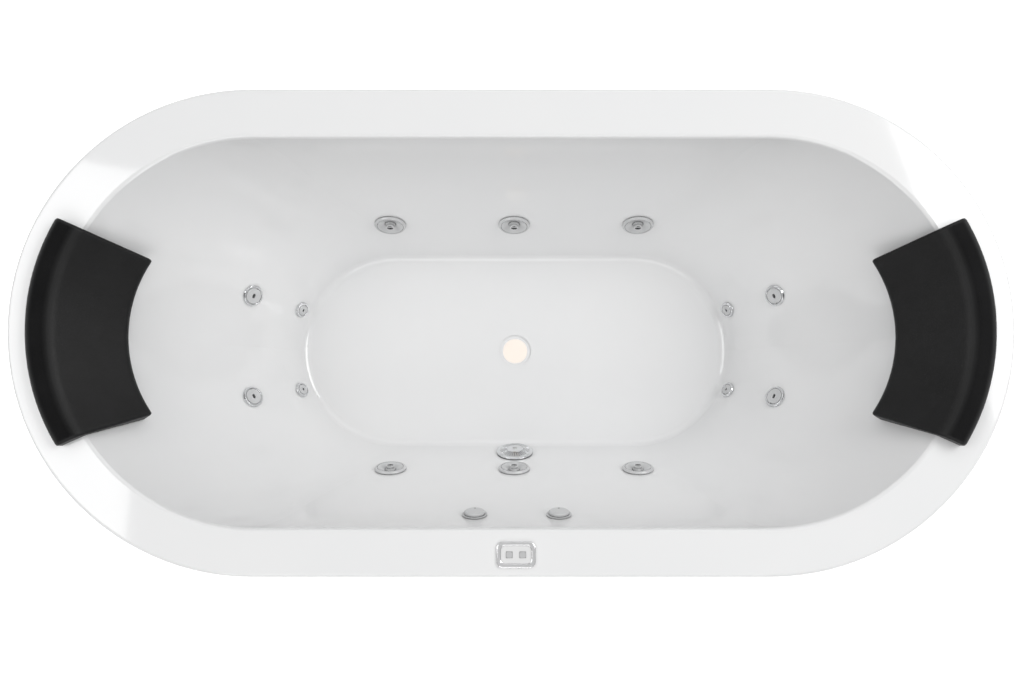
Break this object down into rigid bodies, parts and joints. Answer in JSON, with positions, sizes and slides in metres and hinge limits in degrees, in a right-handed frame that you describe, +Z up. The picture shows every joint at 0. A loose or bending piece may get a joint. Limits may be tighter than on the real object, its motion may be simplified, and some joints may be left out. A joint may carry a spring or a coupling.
{
  "type": "jetted bathtub",
  "caption": "Double-ended oval drop-in jetted bath with swivel side jets, back jets, head rests, keypad, air controls and a cradle that carries the pump.",
  "frame": {"origin": "on the floor under the middle of the bath's rim outline", "axes": "+X along the bath's length towards the pump end, +Y across it away from the keypad side, +Z up"},
  "size_m": [1.8, 0.872, 0.5881],
  "materials": {
    "acrylic": "polished white acrylic",
    "laminate": "rough sprayed glass fibre and resin",
    "jet_trim": "smooth light grey moulded plastic",
    "moulded_white": "solvent-welded white PVC",
    "moulded_grey": "grey moulded plastic",
    "moulded_black": "black moulded plastic",
    "gasket_rubber": "soft black rubber",
    "clear_tube": "milky vinyl tube",
    "chrome_trim": "polished plating",
    "keypad_white": "smooth white overlay",
    "keypad_grey": "satin grey key caps",
    "headrest_foam": "grained skin of self-skinning foam",
    "plywood": "sealed plywood",
    "galvanised": "zinc-coated steel",
    "motor_paint": "satin paint on cast metal",
    "shaft_steel": "ground steel",
    "screw_steel": "stainless steel"
  },
  "bodies": {
    "tub": {"acrylic_shell": "acrylic", "fibreglass_backing": "laminate", "side_jet_housings": "moulded_white", "back_jet_housings": "moulded_white", "mini_jet_housings": "moulded_white", "side_jet_flanges": "jet_trim", "back_jet_flanges": "jet_trim", "mini_jet_flanges": "jet_trim", "jet_gaskets": "gasket_rubber", "lock_nuts": "moulded_grey", "suction_housing": "moulded_white", "suction_cover": "jet_trim", "suction_cover_screw": "screw_steel", "air_control_housings": "moulded_white", "water_pipes": "moulded_white", "air_lines": "clear_tube", "keypad_bezel": "chrome_trim", "keypad_panel": "keypad_white", "keypad_housing": "moulded_grey", "base_board": "plywood", "cradle_frame": "galvanised", "equipment_shelves": "plywood", "pump_volute": "moulded_black", "motor_casing": "motor_paint", "pump_fan_cover": "moulded_black", "pump_foot": "gasket_rubber", "control_box": "moulded_grey", "control_box_gland": "moulded_black"},
    "side_jet_face_1": {"side_jet_face_1": "jet_trim"},
    "side_jet_face_2": {"side_jet_face_2": "jet_trim"},
    "side_jet_face_3": {"side_jet_face_3": "jet_trim"},
    "side_jet_face_4": {"side_jet_face_4": "jet_trim"},
    "side_jet_face_5": {"side_jet_face_5": "jet_trim"},
    "side_jet_face_6": {"side_jet_face_6": "jet_trim"},
    "side_jet_nozzle_1": {"side_jet_nozzle_1": "jet_trim"},
    "side_jet_nozzle_2": {"side_jet_nozzle_2": "jet_trim"},
    "side_jet_nozzle_3": {"side_jet_nozzle_3": "jet_trim"},
    "side_jet_nozzle_4": {"side_jet_nozzle_4": "jet_trim"},
    "side_jet_nozzle_5": {"side_jet_nozzle_5": "jet_trim"},
    "side_jet_nozzle_6": {"side_jet_nozzle_6": "jet_trim"},
    "back_jet_nozzle_1": {"back_jet_nozzle_1": "jet_trim"},
    "back_jet_nozzle_2": {"back_jet_nozzle_2": "jet_trim"},
    "back_jet_nozzle_3": {"back_jet_nozzle_3": "jet_trim"},
    "back_jet_nozzle_4": {"back_jet_nozzle_4": "jet_trim"},
    "mini_jet_nozzle_1": {"mini_jet_nozzle_1": "jet_trim"},
    "mini_jet_nozzle_2": {"mini_jet_nozzle_2": "jet_trim"},
    "mini_jet_nozzle_3": {"mini_jet_nozzle_3": "jet_trim"},
    "mini_jet_nozzle_4": {"mini_jet_nozzle_4": "jet_trim"},
    "air_knob_1": {"air_knob_1": "jet_trim"},
    "air_knob_2": {"air_knob_2": "jet_trim"},
    "keypad_button_1": {"keypad_button_1": "keypad_grey"},
    "keypad_button_2": {"keypad_button_2": "keypad_grey"},
    "headrest_1": {"headrest_1": "headrest_foam"},
    "headrest_2": {"headrest_2": "headrest_foam"},
    "foot_1": {"foot_1": "moulded_black"},
    "foot_2": {"foot_2": "moulded_black"},
    "foot_3": {"foot_3": "moulded_black"},
    "foot_4": {"foot_4": "moulded_black"},
    "pump_rotor": {"motor_shaft": "shaft_steel", "pump_impeller": "moulded_grey"}
  },
  "joints": [
    {"name": "side_jet_face_1_turn", "type": "hinge", "parent": "tub", "child": "side_jet_face_1", "pos_m": [-0.257, 0.25448, 0.25], "axis": [0, -0.9425, 0.3341], "range_deg": [-90, 90]},
    {"name": "side_jet_nozzle_1_tilt", "type": "hinge", "parent": "side_jet_face_1", "child": "side_jet_nozzle_1", "pos_m": [-0.257, 0.25919, 0.24833], "axis": [1, 0, 0], "range_deg": [-12, 12]},
    {"name": "side_jet_face_2_turn", "type": "hinge", "parent": "tub", "child": "side_jet_face_2", "pos_m": [0, 0.25448, 0.25], "axis": [0, -0.9425, 0.3341], "range_deg": [-90, 90]},
    {"name": "side_jet_nozzle_2_tilt", "type": "hinge", "parent": "side_jet_face_2", "child": "side_jet_nozzle_2", "pos_m": [0, 0.25919, 0.24833], "axis": [1, 0, 0], "range_deg": [-12, 12]},
    {"name": "side_jet_face_3_turn", "type": "hinge", "parent": "tub", "child": "side_jet_face_3", "pos_m": [0.257, 0.25448, 0.25], "axis": [0, -0.9425, 0.3341], "range_deg": [-90, 90]},
    {"name": "side_jet_nozzle_3_tilt", "type": "hinge", "parent": "side_jet_face_3", "child": "side_jet_nozzle_3", "pos_m": [0.257, 0.25919, 0.24833], "axis": [1, 0, 0], "range_deg": [-12, 12]},
    {"name": "side_jet_face_4_turn", "type": "hinge", "parent": "tub", "child": "side_jet_face_4", "pos_m": [-0.257, -0.25448, 0.25], "axis": [0, 0.9425, 0.3341], "range_deg": [-90, 90]},
    {"name": "side_jet_nozzle_4_tilt", "type": "hinge", "parent": "side_jet_face_4", "child": "side_jet_nozzle_4", "pos_m": [-0.257, -0.25919, 0.24833], "axis": [-1, 0, 0], "range_deg": [-12, 12]},
    {"name": "side_jet_face_5_turn", "type": "hinge", "parent": "tub", "child": "side_jet_face_5", "pos_m": [0, -0.25448, 0.25], "axis": [0, 0.9425, 0.3341], "range_deg": [-90, 90]},
    {"name": "side_jet_nozzle_5_tilt", "type": "hinge", "parent": "side_jet_face_5", "child": "side_jet_nozzle_5", "pos_m": [0, -0.25919, 0.24833], "axis": [-1, 0, 0], "range_deg": [-12, 12]},
    {"name": "side_jet_face_6_turn", "type": "hinge", "parent": "tub", "child": "side_jet_face_6", "pos_m": [0.257, -0.25448, 0.25], "axis": [0, 0.9425, 0.3341], "range_deg": [-90, 90]},
    {"name": "side_jet_nozzle_6_tilt", "type": "hinge", "parent": "side_jet_face_6", "child": "side_jet_nozzle_6", "pos_m": [0.257, -0.25919, 0.24833], "axis": [-1, 0, 0], "range_deg": [-12, 12]},
    {"name": "back_jet_nozzle_1_spin", "type": "hinge", "parent": "tub", "child": "back_jet_nozzle_1", "pos_m": [-0.53973, 0.105, 0.263], "axis": [0.6679, -0.2961, 0.6828], "continuous": true},
    {"name": "back_jet_nozzle_2_spin", "type": "hinge", "parent": "tub", "child": "back_jet_nozzle_2", "pos_m": [-0.53973, -0.105, 0.263], "axis": [0.6679, 0.2961, 0.6828], "continuous": true},
    {"name": "back_jet_nozzle_3_spin", "type": "hinge", "parent": "tub", "child": "back_jet_nozzle_3", "pos_m": [0.53973, 0.105, 0.263], "axis": [-0.6679, -0.2961, 0.6828], "continuous": true},
    {"name": "back_jet_nozzle_4_spin", "type": "hinge", "parent": "tub", "child": "back_jet_nozzle_4", "pos_m": [0.53973, -0.105, 0.263], "axis": [-0.6679, 0.2961, 0.6828], "continuous": true},
    {"name": "mini_jet_nozzle_1_spin", "type": "hinge", "parent": "tub", "child": "mini_jet_nozzle_1", "pos_m": [-0.4603, 0.087, 0.165], "axis": [0.7813, -0.3353, 0.5264], "continuous": true},
    {"name": "mini_jet_nozzle_2_spin", "type": "hinge", "parent": "tub", "child": "mini_jet_nozzle_2", "pos_m": [-0.4603, -0.087, 0.165], "axis": [0.7813, 0.3353, 0.5264], "continuous": true},
    {"name": "mini_jet_nozzle_3_spin", "type": "hinge", "parent": "tub", "child": "mini_jet_nozzle_3", "pos_m": [0.4603, 0.087, 0.165], "axis": [-0.7813, -0.3353, 0.5264], "continuous": true},
    {"name": "mini_jet_nozzle_4_spin", "type": "hinge", "parent": "tub", "child": "mini_jet_nozzle_4", "pos_m": [0.4603, -0.087, 0.165], "axis": [-0.7813, 0.3353, 0.5264], "continuous": true},
    {"name": "air_knob_1_turn", "type": "hinge", "parent": "tub", "child": "air_knob_1", "pos_m": [-0.0695, -0.33162, 0.475], "axis": [0, 0.9607, 0.2777], "range_deg": [0, 180]},
    {"name": "air_knob_2_turn", "type": "hinge", "parent": "tub", "child": "air_knob_2", "pos_m": [0.0875, -0.33162, 0.475], "axis": [0, 0.9607, 0.2777], "range_deg": [0, 180]},
    {"name": "keypad_button_1_press", "type": "slide", "parent": "tub", "child": "keypad_button_1", "axis": [0, 0, -1], "range_m": [0, 0.0008], "stiffness_N_per_m": 1500},
    {"name": "keypad_button_2_press", "type": "slide", "parent": "tub", "child": "keypad_button_2", "axis": [0, 0, -1], "range_m": [0, 0.0008], "stiffness_N_per_m": 1500},
    {"name": "headrest_1_lift", "type": "slide", "parent": "tub", "child": "headrest_1", "axis": [0, 0, 1], "range_m": [0, 0.05]},
    {"name": "headrest_2_lift", "type": "slide", "parent": "tub", "child": "headrest_2", "axis": [0, 0, 1], "range_m": [0, 0.05]},
    {"name": "foot_1_level", "type": "slide", "parent": "tub", "child": "foot_1", "axis": [0, 0, -1], "range_m": [0, 0.025]},
    {"name": "foot_2_level", "type": "slide", "parent": "tub", "child": "foot_2", "axis": [0, 0, -1], "range_m": [0, 0.025]},
    {"name": "foot_3_level", "type": "slide", "parent": "tub", "child": "foot_3", "axis": [0, 0, -1], "range_m": [0, 0.025]},
    {"name": "foot_4_level", "type": "slide", "parent": "tub", "child": "foot_4", "axis": [0, 0, -1], "range_m": [0, 0.025]},
    {"name": "pump_rotor_spin", "type": "hinge", "parent": "tub", "child": "pump_rotor", "pos_m": [0.69, -0.022, 0.1507], "axis": [0, 1, 0], "continuous": true}
  ]
}
